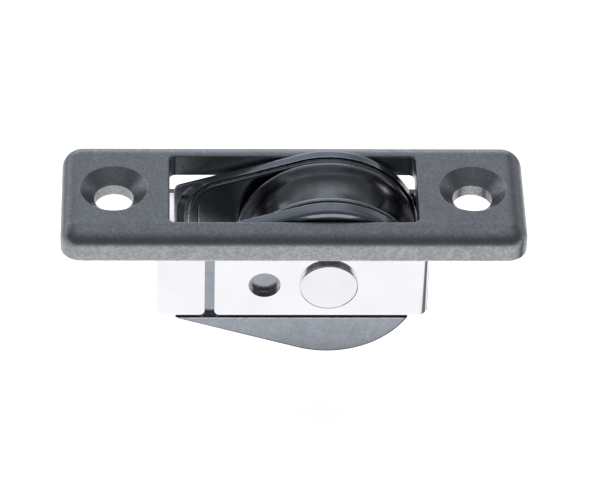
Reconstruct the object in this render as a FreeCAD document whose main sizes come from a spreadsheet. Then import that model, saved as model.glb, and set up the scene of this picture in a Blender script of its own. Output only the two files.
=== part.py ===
import FreeCAD, Part
import math
import os
import Sketcher

# Flush through-deck block for small-boat control lines.
#
# A rounded deck plate with a long slot lies on the deck. A folded stainless strap hangs below it in a
# cut-out in the deck, by two ears that the plate clamps. The strap carries two cheeks, a grooved
# sheave on two rows of balls and the rivet that they turn on.
#
# Frame: millimetres, origin midway between the two screw holes where their bores leave the plate's
# underside, +X along the plate towards the sheave's end, +Y to the rear, +Z up, away from the deck.
# Depths in the sheet are measured down from the plate's flat top, and the bodies are raised to suit.

Vector = FreeCAD.Vector

# Driving dimensions: sheet alias, value in millimetres or degrees, what it measures.
DIMENSIONS = [
    ("plate_length", 75.0, "deck plate, along X"),
    ("plate_width", 23.3, "deck plate, along Y"),
    ("plate_thickness", 5.3, "deck plate, flat top to underside"),
    ("plate_corner", 3.4, "plan radius of the plate's corners"),
    ("plate_edge_round", 3.0, "radius round the plate's top edge"),
    ("slot_length", 40.0, "slot for the cheeks and the line, along X"),
    ("slot_width", 16.1, "slot, along Y"),
    ("slot_corner", 1.0, "plan radius of the slot's corners"),
    ("plate_web", 4.2, "plate's thickness inside the rim round its underside"),
    ("plate_rim", 2.0, "width of that rim"),
    ("slot_round", 0.4, "round on the slot's top rim"),
    ("screw_spacing", 58.0, "between the two deck screws"),
    ("screw_bore", 6.4, "clearance bore for a 6 mm or 1/4 in screw"),
    ("screw_sink", 10.9, "countersink at the top face"),
    ("screw_sink_angle", 90.0, "included angle of the countersink"),
    ("strap_length", 44.2, "outside length of the strap's ring"),
    ("strap_width", 17.0, "outside width of the strap's ring"),
    ("strap_gauge", 1.0, "sheet the strap is folded from"),
    ("strap_bend", 1.8, "outside radius of the strap's corners"),
    ("strap_top", 7.6, "upper edge of the strap's ring below the plate's top"),
    ("strap_bottom", 20.0, "strap's lower edge below the plate's top"),
    ("ear_reach", 2.8, "how far the ears stand out past the ring"),
    ("ear_width", 11.0, "width of the ears and of the tabs that they end"),
    ("ear_bend", 1.1, "outside radius of the bend from tab to ear"),
    ("seam_offset", 13.5, "seam's centre from the slot's centre, towards -X"),
    ("seam_width", 1.6, "open seam between the strap's two ends"),
    ("seam_corner", 0.9, "radius of the strap's ends at the seam"),
    ("axle_offset", 5.8, "axle from the slot's centre, towards +X"),
    ("axle_depth", 13.2, "axle below the plate's top"),
    ("axle_bore", 6.06, "bore for the rivet's shank"),
    ("shank", 6.0, "rivet's shank"),
    ("head", 9.5, "rivet's head and the washer at its other end"),
    ("head_height", 0.9, "how far the head and the washer stand off the strap"),
    ("head_round", 0.35, "round on the head's rim"),
    ("washer_break", 0.2, "chamfer on the washer's rim"),
    ("tail", 4.4, "turned-down tail that is peened over the washer"),
    ("tail_clearance", 0.04, "washer's bore over the tail, on the diameter"),
    ("tail_proud", 0.35, "how far the peened tail stands off the washer"),
    ("index_offset", 10.4, "indexing hole from the axle, towards -X"),
    ("index_drop", 0.25, "the same hole below the axle"),
    ("index_hole", 5.2, "indexing hole through the strap and into the cheek"),
    ("index_depth", 0.3, "how far that hole goes into the cheek"),
    ("cheek_radius", 15.05, "round end of the cheek, about the axle"),
    ("cheek_taper", 18.2, "angle of the cheek's straight edges to X"),
    ("cheek_tail", 25.1, "cheek's blunt end from the axle"),
    ("cheek_corner", 1.2, "radius of the blunt end's corners"),
    ("lip", 5.15, "face of the lip round the cheek's pocket, from the middle plane"),
    ("lip_inset", 0.55, "lip's step in from the cheek's edge"),
    ("lip_tail_inset", 2.5, "the same at the blunt end"),
    ("lip_corner", 6.3, "radius of the lip's corners at the blunt end"),
    ("lip_round", 0.25, "round on the lip's two edges"),
    ("pocket_inset", 1.35, "wall of the pocket from the cheek's edge"),
    ("pocket_tail_inset", 4.0, "the same at the blunt end"),
    ("pocket_corner", 5.4, "radius of the pocket's corners at the blunt end"),
    ("pocket_depth", 0.85, "depth of the pocket below the lip"),
    ("ridge", 5.6, "inner edge of the ridge behind the lip, from the middle plane"),
    ("ridge_foot", 6.6, "where the ridge meets the cheek's flat tail, from the middle plane"),
    ("ridge_tail_inset", 1.7, "ridge's crest from the blunt end"),
    ("ridge_foot_inset", 0.4, "ridge's foot from the blunt end"),
    ("ridge_corner", 7.3, "radius of the ridge's corners at the blunt end"),
    ("skirt_round", 0.4, "round on the cheek's outer edge below the strap"),
    ("skirt_gap", 0.65, "between the strap's lower edge and the cheek's ledge"),
    ("brow", 7.75, "cheek's outer face above the strap, from the middle plane"),
    ("brow_gap", 0.3, "between the strap's upper edge and the cheek's brow"),
    ("brow_draft", 0.28, "how far the brow's edge leans in"),
    ("brow_draft_width", 1.19, "width of the leaning edge"),
    ("brow_round", 0.85, "round on the brow's edge"),
    ("hub_boss", 5.2, "radius of the cheek's boss that clamps the hub"),
    ("hub_half_length", 4.1, "half the length of the bearing hub"),
    ("hub_race", 4.38, "radius of the hub's ball tracks"),
    ("hub_shoulder", 4.9, "radius of the hub's shoulders"),
    ("track_edge", 3.65, "outer end of each ball track from the middle plane"),
    ("track_rib", 0.35, "half the width of the rib between the tracks"),
    ("ball", 3.175, "ball, 1/8 in"),
    ("ball_orbit", 6.0, "radius of the circle through a row's ball centres"),
    ("ball_row", 2.0, "each row from the middle plane"),
    ("sheave_radius", 14.8, "sheave's flanges"),
    ("sheave_half_width", 4.7, "half the sheave's width"),
    ("sheave_race", 7.62, "radius of the sheave's ball track"),
    ("sheave_lip", 7.0, "radius of the rib and lips beside the balls"),
    ("sheave_hollow", 0.7, "depth of the hollow in the sheave's sides"),
    ("sheave_hollow_radius", 9.4, "radius of that hollow"),
    ("groove_radius", 4.0, "rope groove, a half circle centred on the flanges' rims"),
    ("flange_round", 0.3, "round on the flanges' rims"),
]
VALUES = {alias: value for alias, value, meaning in DIMENSIONS}
BALLS_PER_ROW = 11
FRONT, REAR = -1, 1


# ---- document, sheet and bodies ----

doc = FreeCAD.newDocument("ThroughDeckBlock")
sheet = doc.addObject("Spreadsheet::Sheet", "Dims")
for row, (alias, value, meaning) in enumerate(DIMENSIONS, start=1):
    sheet.set("A%d" % row, meaning)
    sheet.set("B%d" % row, str(value))
    sheet.setAlias("B%d" % row, alias)
doc.recompute()


def number(expression):
    """The value of a sheet expression, for the first guess that a sketch is solved from."""
    return float(sheet.evalExpression(expression))


def new_body(label, on_axle=False):
    """A body named after its piece, with its own origin on the plate's flat top or on the axle."""
    body = doc.addObject("PartDesign::Body", label + "_body")
    body.Label = label
    body.setExpression("Placement.Base.z", "Dims.plate_web" + (" - Dims.axle_depth" if on_axle else ""))
    if on_axle:
        body.setExpression("Placement.Base.x", "Dims.axle_offset")
    return body


def new_sketch(body, name, plane, offset="0"):
    """A sketch on one of the body's own planes, moved along the plane's normal by offset."""
    sketch = body.newObject("Sketcher::SketchObject", body.Label + "_" + name)
    support = next(f for f in body.Origin.OriginFeatures if f.Role == plane)
    sketch.AttachmentSupport = [(support, "")]
    sketch.MapMode = "FlatFace"
    sketch.setExpression("AttachmentOffset.Base.z", offset)
    return sketch


# ---- sketch outlines, sized by expressions over the sheet ----

ORIGIN = (-1, 1)        # the sketch's own origin, as Sketcher numbers it
START, END, CENTRE = 1, 2, 3


def bind(sketch, kind, *arguments):
    """Adds a dimension whose last argument is an expression."""
    expression = arguments[-1]
    index = sketch.addConstraint(Sketcher.Constraint(kind, *arguments[:-1], number(expression)))
    sketch.setExpression("Constraints[%d]" % index, expression)


def place(sketch, item, point, across, up):
    """Fixes a point of an item at (across, up) from the sketch's origin."""
    bind(sketch, "DistanceX", *ORIGIN, item, point, across)
    bind(sketch, "DistanceY", *ORIGIN, item, point, up)


def circle(sketch, across, up, radius):
    centre = Vector(number(across), number(up), 0)
    item = sketch.addGeometry(Part.Circle(centre, Vector(0, 0, 1), number(radius)))
    place(sketch, item, CENTRE, across, up)
    bind(sketch, "Radius", item, radius)


def polygon(sketch, corners):
    """A closed outline through corners, each a pair of expressions."""
    points = [Vector(number(across), number(up), 0) for across, up in corners]
    items = [sketch.addGeometry(Part.LineSegment(here, there))
             for here, there in zip(points, points[1:] + points[:1])]
    for item, after in zip(items, items[1:] + items[:1]):
        sketch.addConstraint(Sketcher.Constraint("Coincident", item, END, after, START))
    for item, (across, up) in zip(items, corners):
        place(sketch, item, START, across, up)


def rectangle(sketch, left, right, bottom, top):
    polygon(sketch, [(left, bottom), (right, bottom), (right, top), (left, top)])


def arc(centre, radius, first, last):
    """An arc from the first to the last angle in degrees, counter-clockwise."""
    whole = Part.Circle(Vector(centre[0], centre[1], 0), Vector(0, 0, 1), radius)
    return Part.ArcOfCircle(whole, math.radians(first), math.radians(last))


def join_smoothly(sketch, items):
    """Each item ends where the next starts, with no corner between them."""
    for here, there in zip(items, items[1:] + items[:1]):
        sketch.addConstraint(Sketcher.Constraint("Tangent", here, END, there, START))


def rounded_rectangle(sketch, length, width, radius):
    """A rectangle about the sketch's origin with four equal round corners."""
    a, b, r = number(length) / 2, number(width) / 2, number(radius)
    items = []
    for turn, (reach, rise) in enumerate([(a, b), (b, a), (a, b), (b, a)]):
        angle = math.radians(90 * turn)
        x_way = Vector(math.cos(angle), math.sin(angle), 0)
        y_way = Vector(-math.sin(angle), math.cos(angle), 0)
        start = x_way * (r - reach) - y_way * rise
        end = x_way * (reach - r) - y_way * rise
        bend = x_way * (reach - r) - y_way * (rise - r)
        items.append(sketch.addGeometry(Part.LineSegment(start, end)))
        items.append(sketch.addGeometry(arc(bend, r, 90 * turn - 90, 90 * turn)))
    join_smoothly(sketch, items)
    front, right, rear, left = items[0::2]
    for item in (front, rear):
        sketch.addConstraint(Sketcher.Constraint("Horizontal", item))
    for item in (right, left):
        sketch.addConstraint(Sketcher.Constraint("Vertical", item))
    corners = items[1::2]
    for corner in corners[1:]:
        sketch.addConstraint(Sketcher.Constraint("Equal", corners[0], corner))
    bind(sketch, "Radius", corners[0], radius)
    bind(sketch, "DistanceX", left, START, right, START, length)
    bind(sketch, "DistanceY", front, START, rear, START, width)
    sketch.addConstraint(Sketcher.Constraint("Symmetric", front, START, rear, START, *ORIGIN))


def half_round(sketch, height, radius):
    """A U open at the top: a half circle centred at height on the sketch's upright axis."""
    r, middle = number(radius), number(height)
    top = middle + r
    items = [sketch.addGeometry(shape) for shape in (
        arc((0, middle), r, 180, 360),
        Part.LineSegment(Vector(r, middle, 0), Vector(r, top, 0)),
        Part.LineSegment(Vector(r, top, 0), Vector(-r, top, 0)),
        Part.LineSegment(Vector(-r, top, 0), Vector(-r, middle, 0)))]
    bowl, right, lid, left = items
    for here, there in ((left, bowl), (bowl, right)):
        sketch.addConstraint(Sketcher.Constraint("Tangent", here, END, there, START))
    for here, there in ((right, lid), (lid, left)):
        sketch.addConstraint(Sketcher.Constraint("Coincident", here, END, there, START))
    for item in (right, left):
        sketch.addConstraint(Sketcher.Constraint("Vertical", item))
    sketch.addConstraint(Sketcher.Constraint("Horizontal", lid))
    place(sketch, bowl, CENTRE, "0", height)
    bind(sketch, "Radius", bowl, radius)
    bind(sketch, "DistanceY", right, START, right, END, radius)


def teardrop(sketch, inset, corner, tail_inset=None):
    """The cheek's outline: a round end about the axle and straight edges to a blunt tail."""
    radius, tail = "Dims.cheek_radius - " + inset, "Dims.cheek_tail - " + (tail_inset or inset)
    taper = number("Dims.cheek_taper")
    lean = math.radians(taper)
    r, back, small = number(radius), number(tail), number(corner)
    top = Vector(-r * math.sin(lean), r * math.cos(lean), 0)
    middle_x = small - back
    # The small corner touches the tail's end and the straight edge.
    middle_y = (r - small - middle_x * math.sin(-lean)) / math.cos(lean)
    leave = Vector(middle_x - small * math.sin(lean), middle_y + small * math.cos(lean), 0)
    items = [sketch.addGeometry(shape) for shape in (
        arc((0, 0), r, -90 - taper, 90 + taper),
        Part.LineSegment(top, leave),
        arc((middle_x, middle_y), small, 90 + taper, 180),
        Part.LineSegment(Vector(-back, middle_y, 0), Vector(-back, -middle_y, 0)),
        arc((middle_x, -middle_y), small, 180, 270 - taper),
        Part.LineSegment(Vector(leave.x, -leave.y, 0), Vector(top.x, -top.y, 0)))]
    join_smoothly(sketch, items)
    nose, upper, corner_above, end, corner_below, lower = items
    sketch.addConstraint(Sketcher.Constraint("Coincident", nose, CENTRE, *ORIGIN))
    sketch.addConstraint(Sketcher.Constraint("Equal", corner_above, corner_below))
    sketch.addConstraint(Sketcher.Constraint("Symmetric", end, START, end, END, -1))
    bind(sketch, "Radius", nose, radius)
    bind(sketch, "Radius", corner_above, corner)
    bind(sketch, "DistanceX", end, START, *ORIGIN, tail)
    angle = sketch.addConstraint(Sketcher.Constraint("Angle", lower, -lean))
    sketch.setExpression("Constraints[%d]" % angle, "-Dims.cheek_taper * 1 deg")


def teardrop_below(sketch, level):
    """The part of the cheek's outline below a level that cuts the tail's lower corner."""
    taper, up = number("Dims.cheek_taper"), number(level)
    r, small = number("Dims.cheek_radius"), number("Dims.cheek_corner")
    lean = math.radians(taper)
    middle_x = small - number("Dims.cheek_tail")
    middle_y = (small - r + middle_x * math.sin(-lean)) / math.cos(lean)
    leave = Vector(middle_x - small * math.sin(lean), middle_y - small * math.cos(lean), 0)
    nose_end = math.degrees(math.asin(up / r))
    corner_start = 180 + math.degrees(math.asin((middle_y - up) / small))
    items = [sketch.addGeometry(shape) for shape in (
        arc((0, 0), r, -90 - taper, nose_end),
        arc((middle_x, middle_y), small, corner_start, 270 - taper),
        Part.LineSegment(leave, Vector(-r * math.sin(lean), -r * math.cos(lean), 0)),
        Part.LineSegment(Vector(middle_x + small * math.cos(math.radians(corner_start)), up, 0),
                         Vector(r * math.cos(math.radians(nose_end)), up, 0)))]
    nose, corner, lower, lid = items
    for here, there in ((corner, lower), (lower, nose)):
        sketch.addConstraint(Sketcher.Constraint("Tangent", here, END, there, START))
    sketch.addConstraint(Sketcher.Constraint("Coincident", nose, CENTRE, *ORIGIN))
    sketch.addConstraint(Sketcher.Constraint("Coincident", lid, START, corner, START))
    sketch.addConstraint(Sketcher.Constraint("Coincident", lid, END, nose, END))
    sketch.addConstraint(Sketcher.Constraint("Horizontal", lid))
    bind(sketch, "Radius", nose, "Dims.cheek_radius")
    bind(sketch, "Radius", corner, "Dims.cheek_corner")
    bind(sketch, "DistanceX", corner, CENTRE, *ORIGIN, "Dims.cheek_tail - Dims.cheek_corner")
    bind(sketch, "DistanceY", *ORIGIN, lid, START, level)
    angle = sketch.addConstraint(Sketcher.Constraint("Angle", lower, -lean))
    sketch.setExpression("Constraints[%d]" % angle, "-Dims.cheek_taper * 1 deg")


# ---- features ----

def extrude(kind, body, sketch, length, along_normal):
    """A pad or a pocket from the sketch, towards its normal or away from it."""
    feature = body.newObject("PartDesign::" + kind, sketch.Label + "_" + kind.lower())
    feature.Profile = sketch
    feature.setExpression("Length", length)
    feature.Reversed = along_normal == (kind == "Pocket")
    sketch.Visibility = False
    doc.recompute()
    return feature


def pad(body, sketch, length, along_normal=True):
    return extrude("Pad", body, sketch, length, along_normal)


def pocket(body, sketch, length, along_normal=False):
    """A pocket, which has to take something away."""
    before = body.Shape.Volume
    feature = extrude("Pocket", body, sketch, length, along_normal)
    if not body.Shape.Volume < before - 1e-3:
        raise ValueError(feature.Label + " cuts nothing")
    return feature


def turn(kind, body, sketch):
    """A full turn of the sketch about its own horizontal axis."""
    feature = body.newObject("PartDesign::" + kind, sketch.Label + "_" + kind.lower())
    feature.Profile = sketch
    feature.ReferenceAxis = (sketch, ["H_Axis"])
    feature.Angle = 360.0
    doc.recompute()
    return feature


def dress(kind, body, name, size, wanted):
    """Rounds or chamfers the edges of the body's newest shape that wanted() accepts."""
    base = body.Tip
    names = ["Edge%d" % n for n, edge in enumerate(base.Shape.Edges, start=1) if wanted(edge)]
    feature = body.newObject("PartDesign::" + kind, body.Label + "_" + name)
    feature.Base = (base, names)
    feature.setExpression("Radius" if kind == "Fillet" else "Size", size)
    doc.recompute()
    return feature


def lies_at(edge, axis, value):
    """Whether the whole edge lies in the plane where the axis has that value."""
    box = edge.BoundBox
    low, high = getattr(box, axis + "Min"), getattr(box, axis + "Max")
    return abs(low - value) < 1e-4 and abs(high - value) < 1e-4


# ---- deck plate ----

def build_deck_plate():
    """Cast plate with a soft top edge, a slot, two countersinks and a rim round its underside."""
    body = new_body("deck_plate")
    outline = new_sketch(body, "outline", "XY_Plane")
    rounded_rectangle(outline, "Dims.plate_length", "Dims.plate_width", "Dims.plate_corner")
    pad(body, outline, "Dims.plate_thickness", along_normal=False)
    dress("Fillet", body, "edge_round", "Dims.plate_edge_round", lambda edge: lies_at(edge, "Z", 0))

    slot = new_sketch(body, "slot", "XY_Plane")
    rounded_rectangle(slot, "Dims.slot_length", "Dims.slot_width", "Dims.slot_corner")
    pocket(body, slot, "Dims.plate_thickness")
    half_slot = VALUES["slot_length"] / 2 + 1e-3
    dress("Fillet", body, "slot_round", "Dims.slot_round",
          lambda edge: lies_at(edge, "Z", 0) and max(edge.BoundBox.XMax, -edge.BoundBox.XMin) < half_slot)

    hollow = new_sketch(body, "hollow", "XY_Plane", "-Dims.plate_thickness")
    rounded_rectangle(hollow, "Dims.plate_length - 2 * Dims.plate_rim",
                      "Dims.plate_width - 2 * Dims.plate_rim", "Dims.plate_corner - Dims.plate_rim")
    pocket(body, hollow, "Dims.plate_thickness - Dims.plate_web", along_normal=True)

    screws = new_sketch(body, "screws", "XY_Plane")
    for side in ("-", ""):
        circle(screws, side + "Dims.screw_spacing / 2", "0", "Dims.screw_bore / 2")
    doc.recompute()
    hole = body.newObject("PartDesign::Hole", "deck_plate_screw_holes")
    hole.Profile = screws
    hole.ThreadType = "None"
    hole.DepthType = "ThroughAll"
    hole.HoleCutType = "Countersink"
    hole.setExpression("Diameter", "Dims.screw_bore")
    hole.setExpression("HoleCutDiameter", "Dims.screw_sink")
    hole.setExpression("HoleCutCountersinkAngle", "Dims.screw_sink_angle")
    doc.recompute()
    return body


# ---- strap ----

def build_cheek_strap():
    """Sheet folded into an open ring, with a tab at each end that is bent out into an ear."""
    body = new_body("cheek_strap")
    ring = new_sketch(body, "ring", "XY_Plane", "-Dims.strap_top")
    rounded_rectangle(ring, "Dims.strap_length", "Dims.strap_width", "Dims.strap_bend")
    rounded_rectangle(ring, "Dims.strap_length - 2 * Dims.strap_gauge",
                      "Dims.strap_width - 2 * Dims.strap_gauge",
                      "Dims.strap_bend - Dims.strap_gauge")
    pad(body, ring, "Dims.strap_bottom - Dims.strap_top", along_normal=False)

    # The ears' upper faces are one gauge above the plate's lower edge, so both lie on the deck.
    ear_top = "Dims.plate_thickness - Dims.strap_gauge"
    root, wall = "Dims.strap_length / 2 - Dims.strap_gauge", "Dims.strap_length / 2"
    half = "Dims.ear_width / 2"
    for name, reach, height in (
            ("tabs", wall, "Dims.strap_top - (%s)" % ear_top),
            ("ears", wall + " + Dims.ear_reach", "Dims.strap_gauge")):
        strips = new_sketch(body, name, "XY_Plane", "-(%s)" % ear_top)
        rectangle(strips, root, reach, "-" + half, half)
        rectangle(strips, "-(%s)" % reach, "-(%s)" % root, "-" + half, half)
        pad(body, strips, height, along_normal=False)
    top, inner = -number(ear_top), number(root)
    dress("Fillet", body, "ear_bend", "Dims.ear_bend",
          lambda edge: lies_at(edge, "Z", top) and abs(abs(edge.BoundBox.Center.x) - inner) < 1e-3)

    # The cuts below start in front of the strap and run to the rear, against the plane's normal.
    ahead = "Dims.strap_width / 2 + Dims.strap_gauge"
    seam = new_sketch(body, "seam", "XZ_Plane", ahead)
    rectangle(seam, "-Dims.seam_offset - Dims.seam_width / 2", "-Dims.seam_offset + Dims.seam_width / 2",
              "-Dims.strap_bottom - Dims.strap_gauge", "-Dims.strap_top + Dims.strap_gauge")
    pocket(body, seam, "3 * Dims.strap_gauge")
    seam_x = -VALUES["seam_offset"]
    dress("Fillet", body, "seam_round", "Dims.seam_corner",
          lambda edge: lies_at(edge, "Z", -VALUES["strap_bottom"])
          and abs(abs(edge.BoundBox.Center.x - seam_x) - VALUES["seam_width"] / 2) < 1e-3)

    holes = new_sketch(body, "holes", "XZ_Plane", ahead)
    circle(holes, "Dims.axle_offset", "-Dims.axle_depth", "Dims.axle_bore / 2")
    circle(holes, "Dims.axle_offset - Dims.index_offset", "-Dims.axle_depth - Dims.index_drop",
           "Dims.index_hole / 2")
    pocket(body, holes, "2 * (%s)" % ahead)
    return body


# ---- cheeks ----

def build_cheek(label, side):
    """Die-cast cheek: a teardrop, flush with the strap below it, thinner inside it, with a brow above.

    Its inner side has a pocket inside a lip and a ridge, which are rounder at the tail than the cheek."""
    body = new_body(label, on_axle=True)
    outward = side == FRONT          # the XZ plane's normal points to the front

    def sketch_at(name, distance):
        """A sketch at a distance from the block's middle plane, on the cheek's side of it."""
        return new_sketch(body, name, "XZ_Plane", "%d * (%s)" % (-side, distance))

    face, flush = "Dims.strap_width / 2 - Dims.strap_gauge", "Dims.strap_width / 2"
    lean = "Dims.brow - Dims.brow_draft"
    slab = sketch_at("slab", "Dims.ridge_foot")
    teardrop(slab, "0", "Dims.cheek_corner")
    pad(body, slab, "%s - Dims.ridge_foot" % lean, along_normal=outward)

    def loft(name, first, last):
        """A straight-sided solid between two outlines."""
        feature = body.newObject("PartDesign::AdditiveLoft", label + "_" + name)
        feature.Profile, feature.Sections, feature.Ruled = first, [last], True
        doc.recompute()

    foot, crest = sketch_at("brow_foot", lean), sketch_at("brow_crest", "Dims.brow")
    teardrop(foot, "0", "Dims.cheek_corner")
    teardrop(crest, "Dims.brow_draft_width", "Dims.cheek_corner - Dims.brow_draft_width")
    loft("brow", foot, crest)
    lean_y, flush_y = side * number(lean), side * number(flush)
    dress("Fillet", body, "brow_round", "Dims.brow_round",
          lambda edge: lies_at(edge, "Y", lean_y))

    ledge = "Dims.axle_depth - Dims.strap_bottom - Dims.skirt_gap"
    lower = sketch_at("skirt", "Dims.ridge_foot")
    teardrop_below(lower, ledge)
    pad(body, lower, flush + " - Dims.ridge_foot", along_normal=outward)
    ledge_z = number(ledge)
    dress("Fillet", body, "skirt_round", "Dims.skirt_round",
          lambda edge: lies_at(edge, "Y", flush_y) and not lies_at(edge, "Z", ledge_z))

    # The recess takes the strap's wall. It is wider than the cheek, so it runs out at both ends.
    # The relief is deeper and clears the strap's bend at the round end.
    bend = "Dims.strap_length / 2 - Dims.strap_bend - Dims.axle_offset"
    for name, left, depth in (
            ("strap_recess", "-2 * Dims.cheek_tail", "Dims.brow - (%s)" % face),
            ("bend_relief", bend, "Dims.brow - (%s) + Dims.strap_bend - Dims.strap_gauge" % face)):
        recess = sketch_at(name, "Dims.brow")
        rectangle(recess, left, "2 * Dims.cheek_radius", ledge,
                  "Dims.axle_depth - Dims.strap_top + Dims.brow_gap")
        pocket(body, recess, depth, along_normal=not outward)

    foot, crest = sketch_at("ridge_foot", "Dims.ridge_foot"), sketch_at("ridge_crest", "Dims.ridge")
    teardrop(foot, "0", "Dims.ridge_corner", "Dims.ridge_foot_inset")
    teardrop(crest, "0", "Dims.ridge_corner", "Dims.ridge_tail_inset")
    loft("ridge", foot, crest)
    lip = sketch_at("lip", "Dims.lip")
    teardrop(lip, "Dims.lip_inset", "Dims.lip_corner", "Dims.lip_tail_inset")
    pad(body, lip, "Dims.ridge - Dims.lip", along_normal=outward)
    hollow = sketch_at("pocket", "Dims.lip")
    teardrop(hollow, "Dims.pocket_inset", "Dims.pocket_corner", "Dims.pocket_tail_inset")
    pocket(body, hollow, "Dims.pocket_depth", along_normal=outward)
    lip_y = side * VALUES["lip"]
    dress("Fillet", body, "lip_round", "Dims.lip_round", lambda edge: lies_at(edge, "Y", lip_y))

    boss = sketch_at("hub_boss", "Dims.hub_half_length")
    circle(boss, "0", "0", "Dims.hub_boss")
    pad(body, boss, "Dims.lip + Dims.pocket_depth - Dims.hub_half_length", along_normal=outward)

    index = sketch_at("index_hole", face)
    circle(index, "-Dims.index_offset", "-Dims.index_drop", "Dims.index_hole / 2")
    pocket(body, index, "Dims.index_depth", along_normal=not outward)

    axle = sketch_at("axle_bore", "Dims.hub_half_length")
    circle(axle, "0", "0", "Dims.axle_bore / 2")
    pocket(body, axle, "Dims.strap_width / 2 - Dims.hub_half_length", along_normal=outward)
    return body


# ---- turned pieces on the axle ----

def turned_body(label, corners):
    """A body of revolution about the axle, from corners as (along Y, radius) expressions."""
    body = new_body(label, on_axle=True)
    profile = new_sketch(body, "profile", "YZ_Plane")
    polygon(profile, corners)
    turn("Revolution", body, profile)
    return body


def mirrored_profile(half):
    """The corners of a profile from its half at +Y, given from the middle plane outwards."""
    return half + [("-(%s)" % along, radius) for along, radius in reversed(half)]


def build_bearing_hub():
    """Inner race: two ball tracks between three shoulders, clamped between the cheeks' bosses."""
    rib, edge, end = "Dims.track_rib", "Dims.track_edge", "Dims.hub_half_length"
    race, shoulder = "Dims.hub_race", "Dims.hub_shoulder"
    outside = [(rib, shoulder), (rib, race), (edge, race), (edge, shoulder), (end, shoulder)]
    return turned_body("bearing_hub", mirrored_profile(outside + [(end, "Dims.axle_bore / 2")]))


def build_rope_sheave():
    """Grooved wheel that runs on the balls, with hollowed sides round the hub."""
    rib, edge, side = "Dims.track_rib", "Dims.track_edge", "Dims.sheave_half_width"
    floor = "Dims.sheave_half_width - Dims.sheave_hollow"
    race, lip, hollow = "Dims.sheave_race", "Dims.sheave_lip", "Dims.sheave_hollow_radius"
    inside = [(rib, lip), (rib, race), (edge, race), (edge, lip), (floor, lip),
              (floor, "%s - Dims.sheave_hollow" % hollow), (side, hollow), (side, "Dims.sheave_radius")]
    body = turned_body("rope_sheave", mirrored_profile(inside))
    groove = new_sketch(body, "rope_groove", "YZ_Plane")
    half_round(groove, "Dims.sheave_radius", "Dims.groove_radius")
    turn("Groove", body, groove)
    rim = VALUES["sheave_radius"]
    dress("Fillet", body, "flange_round", "Dims.flange_round",
          lambda e: abs(e.BoundBox.ZMax - rim) < 1e-4 and abs(e.BoundBox.YLength) < 1e-4)
    return body


def build_axle_rivet():
    """Rivet with a flat head at the front and a thin tail peened over the washer at the rear."""
    wall = "Dims.strap_width / 2"
    cap = wall + " + Dims.head_height"
    peen = cap + " + Dims.tail_proud"
    tail = "Dims.tail / 2"
    body = turned_body("axle_rivet", [
        ("-(%s)" % cap, "0"), ("-(%s)" % cap, "Dims.head / 2"), ("-" + wall, "Dims.head / 2"),
        ("-" + wall, "Dims.shank / 2"), (wall, "Dims.shank / 2"), (wall, tail), (cap, tail),
        (cap, tail + " + 2 * Dims.tail_proud"), (peen, tail + " + Dims.tail_proud"), (peen, "0")])
    face, rim = -number(cap), VALUES["head"] / 2
    dress("Fillet", body, "head_round", "Dims.head_round",
          lambda edge: lies_at(edge, "Y", face) and abs(edge.BoundBox.ZMax - rim) < 1e-3)
    return body


def build_rivet_washer():
    wall = "Dims.strap_width / 2"
    cap = wall + " + Dims.head_height"
    bore = "(Dims.tail + Dims.tail_clearance) / 2"
    return turned_body("rivet_washer", [
        (wall, bore), (wall, "Dims.head / 2"), (cap + " - Dims.washer_break", "Dims.head / 2"),
        (cap, "Dims.head / 2 - Dims.washer_break"), (cap, bore)])


# ---- ball rows ----

def build_ball_row(label, side, stagger):
    """A full row of loose balls round the hub. stagger turns the row by that part of a pitch."""
    balls = []
    for count in range(BALLS_PER_ROW):
        ball = doc.addObject("Part::Sphere", "%s_%d" % (label, count + 1))
        ball.setExpression("Radius", "Dims.ball / 2")
        angle = "%.6f deg" % (360.0 * (count + stagger) / BALLS_PER_ROW)
        ball.setExpression("Placement.Base.x", "Dims.axle_offset + Dims.ball_orbit * cos(%s)" % angle)
        ball.setExpression("Placement.Base.y", "%d * Dims.ball_row" % side)
        ball.setExpression("Placement.Base.z",
                           "Dims.ball_orbit * sin(%s) + Dims.plate_web - Dims.axle_depth" % angle)
        balls.append(ball)
    row = doc.addObject("Part::Compound", label)
    row.Label = label
    row.Links = balls
    return row


# ---- build, check and write ----

pieces = [
    build_deck_plate(),
    build_cheek_strap(),
    build_cheek("front_cheek", FRONT),
    build_cheek("rear_cheek", REAR),
    build_rope_sheave(),
    build_bearing_hub(),
    build_ball_row("front_ball_row", FRONT, 0.0),
    build_ball_row("rear_ball_row", REAR, 0.5),
    build_axle_rivet(),
    build_rivet_washer(),
]
doc.recompute()

for item in doc.Objects:
    if "Invalid" in item.State or "Error" in item.State:
        raise RuntimeError("%s did not build: %s" % (item.Label, item.State))
for piece in pieces:
    if piece.Shape.isNull() or not piece.Shape.isValid():
        raise RuntimeError(piece.Label + " has no valid shape")

os.makedirs("parts", exist_ok=True)
for piece in pieces:
    piece.Shape.exportStep("parts/%s.step" % piece.Label)
    print("%-16s %2d solid(s) %9.2f mm3" % (piece.Label, len(piece.Shape.Solids), piece.Shape.Volume))
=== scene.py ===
import math

import bpy
from mathutils import Euler, Matrix, Vector


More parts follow.
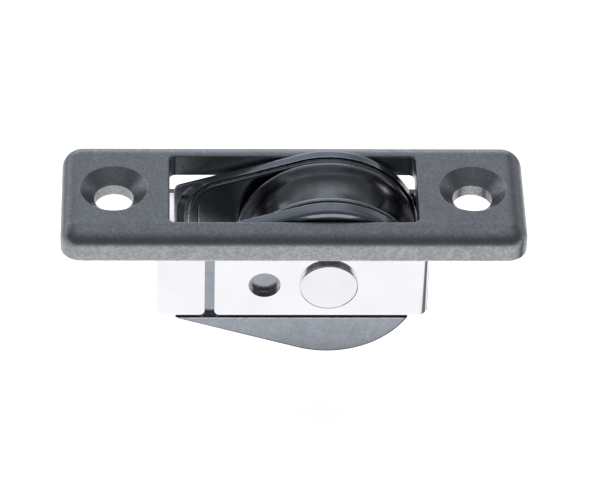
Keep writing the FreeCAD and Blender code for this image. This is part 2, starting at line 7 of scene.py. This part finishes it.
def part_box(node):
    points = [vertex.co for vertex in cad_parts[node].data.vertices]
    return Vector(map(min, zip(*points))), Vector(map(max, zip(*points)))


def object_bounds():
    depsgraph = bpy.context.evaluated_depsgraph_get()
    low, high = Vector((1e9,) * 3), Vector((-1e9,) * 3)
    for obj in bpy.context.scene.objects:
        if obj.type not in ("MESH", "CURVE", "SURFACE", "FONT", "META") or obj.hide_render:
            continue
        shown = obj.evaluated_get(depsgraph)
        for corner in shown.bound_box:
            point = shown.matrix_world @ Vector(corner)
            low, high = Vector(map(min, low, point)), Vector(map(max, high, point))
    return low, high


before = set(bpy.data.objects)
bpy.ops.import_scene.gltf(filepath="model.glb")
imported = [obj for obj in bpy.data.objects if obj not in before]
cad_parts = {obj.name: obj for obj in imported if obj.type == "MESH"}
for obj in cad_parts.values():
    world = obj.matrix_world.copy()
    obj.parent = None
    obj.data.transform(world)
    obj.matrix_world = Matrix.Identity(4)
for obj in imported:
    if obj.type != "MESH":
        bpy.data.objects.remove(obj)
cad_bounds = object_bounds()

MM = 0.001


# ---- small helpers for shader nodes ----

def add_node(tree, kind, inputs=None, **settings):
    """A shader node. An input's value is a constant or another node's output socket."""
    node = tree.nodes.new("ShaderNode" + kind)
    for name, value in settings.items():
        setattr(node, name, value)
    for key, value in (inputs or {}).items():
        socket = node.inputs[key]
        if isinstance(value, bpy.types.NodeSocket):
            tree.links.new(value, socket)
        else:
            socket.default_value = value
    return node


def math_node(tree, operation, first, second=0.0, third=0.0, clamp=False):
    node = add_node(tree, "Math", {0: first, 1: second, 2: third}, operation=operation)
    node.use_clamp = clamp
    return node.outputs[0]


def ramp(tree, value, low, high, to_low=0.0, to_high=1.0, smooth=True):
    """Maps value from low..high to to_low..to_high, and holds it outside."""
    node = add_node(tree, "MapRange", {"Value": value, "From Min": low, "From Max": high,
                                       "To Min": to_low, "To Max": to_high})
    node.interpolation_type = "SMOOTHSTEP" if smooth else "LINEAR"
    return node.outputs["Result"]


def mix_colour(tree, share, first, second):
    node = add_node(tree, "Mix", data_type="RGBA")
    for key, value in ((0, share), (6, first), (7, second)):
        if isinstance(value, bpy.types.NodeSocket):
            tree.links.new(value, node.inputs[key])
        else:
            node.inputs[key].default_value = value if key == 0 else tuple(value) + (1.0,)
    return node.outputs[2]


def noise(tree, vector, scale, detail=3.0, roughness=0.5):
    node = add_node(tree, "TexNoise", {"Vector": vector, "Scale": scale, "Detail": detail,
                                       "Roughness": roughness})
    return node.outputs["Fac"]


def millimetres(tree, stretch=(1.0, 1.0, 1.0)):
    """Object coordinates in millimetres, optionally stretched to draw the grain out."""
    place = add_node(tree, "TexCoord").outputs["Object"]
    scale = tuple(factor / MM for factor in stretch)
    return add_node(tree, "Mapping", {"Vector": place, "Scale": scale}).outputs["Vector"]


def edge_mask(tree, radius, sharp=0.35):
    """1 on convex and concave edges closer than radius, 0 on open faces."""
    bevel = add_node(tree, "Bevel", {"Radius": radius}, samples=6).outputs["Normal"]
    normal = add_node(tree, "NewGeometry").outputs["Normal"]
    dot = add_node(tree, "VectorMath", {0: bevel, 1: normal}, operation="DOT_PRODUCT")
    return ramp(tree, dot.outputs["Value"], 1.0, 1.0 - sharp)


def new_material(name):
    """An empty node material: (material, tree, principled shader)."""
    material = bpy.data.materials.new(name)
    material.use_nodes = True
    tree = material.node_tree
    tree.nodes.clear()
    shader = add_node(tree, "BsdfPrincipled")
    output = add_node(tree, "OutputMaterial")
    tree.links.new(shader.outputs["BSDF"], output.inputs["Surface"])
    return material, tree, shader


def share_of(tone, factor):
    """The tone with every channel times factor."""
    return [c * factor for c in tone]


def feed(tree, shader, **inputs):
    """Sets or links the shader's inputs; underscores stand for spaces."""
    for name, value in inputs.items():
        socket = shader.inputs[name.replace("_", " ")]
        if isinstance(value, bpy.types.NodeSocket):
            tree.links.new(value, socket)
        else:
            socket.default_value = value


# ---- materials ----

def inward_shade_mask(tree):
    """1 on faces that look at the block's middle plane, 0 on the others: the mask for painted shade."""
    coordinates = add_node(tree, "TexCoord")
    place = add_node(tree, "SeparateXYZ", {0: coordinates.outputs["Object"]})
    normal = add_node(tree, "SeparateXYZ", {0: coordinates.outputs["Normal"]})
    side = math_node(tree, "SIGN", place.outputs["Y"])
    away = math_node(tree, "MULTIPLY", side, normal.outputs["Y"])
    return ramp(tree, away, -0.75, -0.97)


def anodised_metal(name, tone, worn_and_highlight, rough, mottle, grain, edge, inward_shade=1.0):
    """Dark hard-anodised metal: a fine mottled grain, faint blotches, and paler edges that are partly
    rubbed wear and partly painted highlight.

    mottle is how far the grain darkens the tone, grain is how much it stands out, edge is how far
    the paler edges reach, and the last argument is the tone's share on faces that look inward,
    a painted shade."""
    material, tree, shader = new_material(name)
    place = millimetres(tree)
    fine = noise(tree, place, 2.2, detail=5.0, roughness=0.65)
    blotch = noise(tree, place, 0.35, detail=4.0, roughness=0.6)
    base = mix_colour(tree, ramp(tree, blotch, 0.32, 0.68), share_of(tone, 0.94),
                      share_of(tone, 1.06))
    dark = math_node(tree, "MULTIPLY", ramp(tree, fine, 0.62, 0.38), mottle)
    base = mix_colour(tree, dark, base, share_of(tone, 0.5))
    # painted shade: faces that look inward, into the pocket between the cheeks, keep only a share of the
    # tone
    if inward_shade < 1.0:
        base = mix_colour(tree, inward_shade_mask(tree), base, share_of(tone, inward_shade))
    # paler edges: partly rubbed wear, partly painted highlight on rims and lips
    edges = edge_mask(tree, edge, 0.2)
    broken = ramp(tree, noise(tree, place, 0.9, detail=4.0), 0.3, 0.55, 0.35, 1.0)
    base = mix_colour(tree, math_node(tree, "MULTIPLY", edges, broken), base, worn_and_highlight)
    roughness = ramp(tree, fine, 0.3, 0.7, rough + 0.05, rough - 0.04)
    height = math_node(tree, "ADD", fine, math_node(tree, "MULTIPLY", blotch, 0.8))
    bump = add_node(tree, "Bump", {"Strength": grain, "Distance": 0.02 * MM, "Height": height})
    feed(tree, shader, Base_Color=base, Metallic=1.0, Roughness=roughness,
         Normal=bump.outputs["Normal"])
    return material


def polished_steel(name, tone, rough, lines):
    """Polished stainless with faint straight polishing lines, and rougher cut faces with painted shade.
    """
    material, tree, shader = new_material(name)
    place = millimetres(tree, (0.25, 0.25, 6.0))
    streak = noise(tree, place, 2.2, detail=4.0)
    smear = noise(tree, millimetres(tree), 0.16, detail=2.0)
    roughness = math_node(tree, "ADD", ramp(tree, streak, 0.3, 0.7, rough * 0.7, rough * 1.3),
                          ramp(tree, smear, 0.35, 0.65, 0.0, 0.04))
    base = mix_colour(tree, ramp(tree, smear, 0.3, 0.7), tone, share_of(tone, 0.965))
    edges = edge_mask(tree, 0.12 * MM, 0.5)
    base = mix_colour(tree, math_node(tree, "MULTIPLY", edges, 0.35), base, share_of(tone, 0.6))
    # painted shade: faces that look straight up or down, the sheet's cut faces, go dark and rougher
    facing = add_node(tree, "SeparateXYZ", {0: add_node(tree, "TexCoord").outputs["Normal"]}).outputs["Z"]
    cut_face_shade = ramp(tree, math_node(tree, "ABSOLUTE", facing), 0.9, 0.98)
    base = mix_colour(tree, math_node(tree, "MULTIPLY", cut_face_shade, ramp(tree, streak, 0.3, 0.6, 0.8, 1.0)),
                      base, share_of(tone, 0.3))
    roughness = math_node(tree, "MULTIPLY_ADD", cut_face_shade, 0.25, roughness)
    bump = add_node(tree, "Bump", {"Strength": lines, "Distance": 0.004 * MM, "Height": streak})
    feed(tree, shader, Base_Color=base, Metallic=1.0, Roughness=roughness,
         Normal=bump.outputs["Normal"])
    return material


def turned_metal(name, tone, worn_and_highlight, rough, axle):
    """Anodised metal off a lathe: fine rings about the axle; paler edges are wear and painted highlight.
    """
    material, tree, shader = new_material(name)
    place = millimetres(tree)
    centre = tuple(c / MM for c in axle)
    from_axle = add_node(tree, "VectorMath", {0: place, 1: centre}, operation="SUBTRACT")
    parts = add_node(tree, "SeparateXYZ", {0: from_axle.outputs[0]})
    across = math_node(tree, "POWER", math_node(tree, "ABSOLUTE", parts.outputs["X"]), 2.0)
    upright = math_node(tree, "POWER", math_node(tree, "ABSOLUTE", parts.outputs["Z"]), 2.0)
    radius = math_node(tree, "SQRT", math_node(tree, "ADD", across, upright))
    along = add_node(tree, "CombineXYZ", {"X": radius, "Y": parts.outputs["Y"]}).outputs[0]
    rings = noise(tree, along, 3.5, detail=4.0, roughness=0.7)
    rubbed = noise(tree, place, 0.4, detail=4.0, roughness=0.6)
    base = mix_colour(tree, ramp(tree, rubbed, 0.35, 0.68), share_of(tone, 0.9),
                      share_of(tone, 1.15))
    base = mix_colour(tree, ramp(tree, rings, 0.42, 0.6, 0.0, 0.25), base, share_of(tone, 0.7))
    # paler edges: rubbed wear and painted highlight
    base = mix_colour(tree, edge_mask(tree, 0.6 * MM, 0.08), base, worn_and_highlight)
    roughness = ramp(tree, rings, 0.35, 0.65, rough - 0.04, rough + 0.05)
    bump = add_node(tree, "Bump", {"Strength": 0.12, "Distance": 0.01 * MM, "Height": rings})
    feed(tree, shader, Base_Color=base, Metallic=1.0, Roughness=roughness,
         Normal=bump.outputs["Normal"])
    return material


def ball_plastic(name):
    material, tree, shader = new_material(name)
    place = millimetres(tree)
    mottle = noise(tree, place, 1.3, detail=3.0)
    base = mix_colour(tree, ramp(tree, mottle, 0.35, 0.65), (0.80, 0.78, 0.72), (0.87, 0.86, 0.82))
    feed(tree, shader, Base_Color=base, Roughness=ramp(tree, mottle, 0.3, 0.7, 0.22, 0.34))
    shader.inputs["Subsurface Weight"].default_value = 0.15
    shader.inputs["Subsurface Scale"].default_value = 0.4 * MM
    return material


def dress_cad_nodes():
    """Gives every CAD node its finish. The meshes stay as they are."""
    low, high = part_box("rope_sheave")
    axle = (low + high) / 2
    plate = anodised_metal("plate_anodised", (0.40, 0.415, 0.43), (0.75, 0.76, 0.78), 0.31, 0.5, 0.5,
                           edge=0.5 * MM)
    cheek = anodised_metal("cheek_anodised", (0.355, 0.385, 0.42), (0.97, 0.97, 0.98), 0.22, 0.12, 0.08,
                           edge=0.42 * MM, inward_shade=0.4)
    hub = turned_metal("hub_anodised", (0.3, 0.31, 0.33), (0.6, 0.6, 0.62), 0.3, axle)
    steel = polished_steel("strap_polished", (0.93, 0.925, 0.94), 0.1, 0.2)
    rivet = polished_steel("rivet_polished", (0.88, 0.88, 0.89), 0.15, 0.1)
    sheave = turned_metal("sheave_anodised", (0.37, 0.375, 0.39), (0.90, 0.90, 0.92), 0.20, axle)
    ball = ball_plastic("ball_acetal")
    finishes = {"deck_plate": plate, "cheek_strap": steel, "front_cheek": cheek, "rear_cheek": cheek,
                "bearing_hub": hub, "rope_sheave": sheave, "axle_rivet": rivet,
                "rivet_washer": rivet, "front_ball_row": ball, "rear_ball_row": ball}
    for name, finish in finishes.items():
        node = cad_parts[name]
        node.data.materials.clear()
        node.data.materials.append(finish)


# ---- stage: floor, surroundings, lights, camera ----

# the floor's side and its distance below the block
FLOOR_SIDE = 6.0
FLOOR_DROP = 20 * MM

# the camera that fits the block's outline: metres, degrees and millimetres of lens
CAMERA_DISTANCE = 0.658
CAMERA_AZIMUTH = 2.3
CAMERA_ELEVATION = 41.1
CAMERA_ROLL = 1.6
CAMERA_LENS = 244.5
CAMERA_SHIFT = (0.0107, -0.0863)


def band(tree, value, start, end, soft):
    """1 between start and end, fading to 0 over soft outside them."""
    rise = ramp(tree, value, start - soft, start)
    fall = ramp(tree, value, end, end + soft, 1.0, 0.0)
    return math_node(tree, "MULTIPLY", rise, fall)


def dim(tree, level, mask, factor):
    """level where mask is 0, and level times factor where it is 1."""
    return math_node(tree, "MULTIPLY", level, ramp(tree, mask, 0.0, 1.0, 1.0, factor, smooth=False))


def build_floor():
    """Pale floor. What the metal mirrors of it is a fitted brightness and not the floor that is seen:
    bright near the block, dark far in front, dimmer behind and to the sides, and dark under it."""
    low, high = cad_bounds
    bpy.ops.mesh.primitive_plane_add(size=FLOOR_SIDE, location=(0, 0, low[2] - FLOOR_DROP))
    floor = bpy.context.object
    floor.name = "floor"
    material = bpy.data.materials.new("pale_floor")
    material.use_nodes = True
    tree = material.node_tree
    tree.nodes.clear()
    place = add_node(tree, "NewGeometry").outputs["Position"]
    grain = noise(tree, place, 40.0)
    shade = mix_colour(tree, ramp(tree, grain, 0.3, 0.7), (0.93, 0.93, 0.935), (0.95, 0.95, 0.95))
    matte = add_node(tree, "BsdfDiffuse", {"Color": shade})
    lit = add_node(tree, "Emission", {"Color": (1.0, 1.0, 1.0, 1.0), "Strength": 1.0})
    seen = add_node(tree, "MixShader", {0: 0.55, 1: matte.outputs[0], 2: lit.outputs[0]})

    xyz = add_node(tree, "SeparateXYZ", {0: place})
    x, y = xyz.outputs["X"], xyz.outputs["Y"]
    level = ramp(tree, y, -0.45, -0.15, 0.12, 1.04)
    level = dim(tree, level, ramp(tree, y, 0.04, 0.20), 0.45)
    level = dim(tree, level, ramp(tree, math_node(tree, "ABSOLUTE", x), 0.05, 0.16), 0.6)
    # painted shadow in what the metal mirrors: dark under the block, and a dark strip off its right end
    under = math_node(tree, "MULTIPLY", band(tree, x, low[0], high[0], 0.01),
                      band(tree, y, -0.026, 0.03, 0.007))
    level = dim(tree, level, under, ramp(tree, x, -0.035, 0.0, 0.9, 0.1))
    right_end = math_node(tree, "MULTIPLY", ramp(tree, x, 0.026, 0.036),
                          band(tree, y, -0.02, 0.0, 0.008))
    level = dim(tree, level, right_end, 0.15)
    mirrored = add_node(tree, "Emission", {"Color": (0.985, 0.98, 1.0, 1.0), "Strength": level})
    path = add_node(tree, "LightPath").outputs["Is Glossy Ray"]
    mix = add_node(tree, "MixShader", {0: path, 1: seen.outputs[0], 2: mirrored.outputs[0]})
    output = add_node(tree, "OutputMaterial")
    tree.links.new(mix.outputs[0], output.inputs["Surface"])
    floor.data.materials.append(material)


def build_surroundings():
    """A studio that mirrors as white low at the rear, soft overhead and dark on the camera's side."""
    world = bpy.data.worlds.new("studio")
    bpy.context.scene.world = world
    world.use_nodes = True
    tree = world.node_tree
    tree.nodes.clear()
    way = add_node(tree, "TexCoord").outputs["Generated"]
    xyz = add_node(tree, "SeparateXYZ", {0: way})
    x, y, z = (xyz.outputs[k] for k in "XYZ")
    front = math_node(tree, "POWER", ramp(tree, z, 0.45, 1.0, smooth=False), 2.0)
    front = ramp(tree, front, 0.0, 1.0, 0.10, 0.42, smooth=False)
    rear = ramp(tree, z, 0.15, 0.6, 1.05, 0.40)
    rear = dim(tree, rear, ramp(tree, x, 0.15, 0.45), 0.35)
    rear = dim(tree, rear, ramp(tree, x, -0.2, -0.5), 0.6)
    share = ramp(tree, y, -0.15, 0.25)
    sky = math_node(tree, "MULTIPLY_ADD", share, math_node(tree, "SUBTRACT", rear, front), front)
    reflected = add_node(tree, "Background", {"Color": (0.93, 0.99, 1.09, 1.0), "Strength": sky})
    seen = add_node(tree, "Background", {"Color": (0.97, 0.97, 0.975, 1.0), "Strength": 1.0})
    path = add_node(tree, "LightPath").outputs["Is Glossy Ray"]
    mix = add_node(tree, "MixShader", {0: path, 1: seen.outputs[0], 2: reflected.outputs[0]})
    output = add_node(tree, "OutputWorld")
    tree.links.new(mix.outputs[0], output.inputs["Surface"])


def area_light(name, size, energy, position, target, glossy):
    light = bpy.data.lights.new(name, "AREA")
    light.shape = "DISK"
    light.size = size
    light.energy = energy
    lamp = bpy.data.objects.new(name, light)
    lamp.location = position
    lamp.rotation_euler = (Vector(target) - Vector(position)).to_track_quat("-Z", "Y").to_euler()
    lamp.visible_glossy = glossy
    bpy.context.scene.collection.objects.link(lamp)


def build_lights():
    area_light("overhead", 0.9, 9.0, (0.1, 0.1, 0.9), (0, 0, 0), glossy=False)
    area_light("key", 0.35, 2.0, (-0.25, -0.5, 0.55), (0, 0, 0), glossy=False)


def build_camera():
    """Long lens, 41 degrees down on the plate and a little from the left, with a slight roll."""
    data = bpy.data.cameras.new("camera")
    data.lens = CAMERA_LENS
    data.sensor_width = 36.0
    data.shift_x, data.shift_y = CAMERA_SHIFT
    data.clip_start = 0.01
    camera = bpy.data.objects.new("camera", data)
    tilt, swing = math.radians(90 - CAMERA_ELEVATION), math.radians(-CAMERA_AZIMUTH)
    aim = Euler((tilt, 0, swing)).to_matrix()
    turn = Matrix.Rotation(math.radians(CAMERA_ROLL), 3, "Z")
    camera.rotation_euler = (aim @ turn).to_euler()
    target = Vector((0, 0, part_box("deck_plate")[1].z))
    camera.location = target + aim @ Vector((0, 0, CAMERA_DISTANCE))
    bpy.context.scene.collection.objects.link(camera)
    bpy.context.scene.camera = camera


dress_cad_nodes()
build_floor()
build_surroundings()
build_lights()
build_camera()
bpy.context.scene.view_settings.view_transform = "Standard"
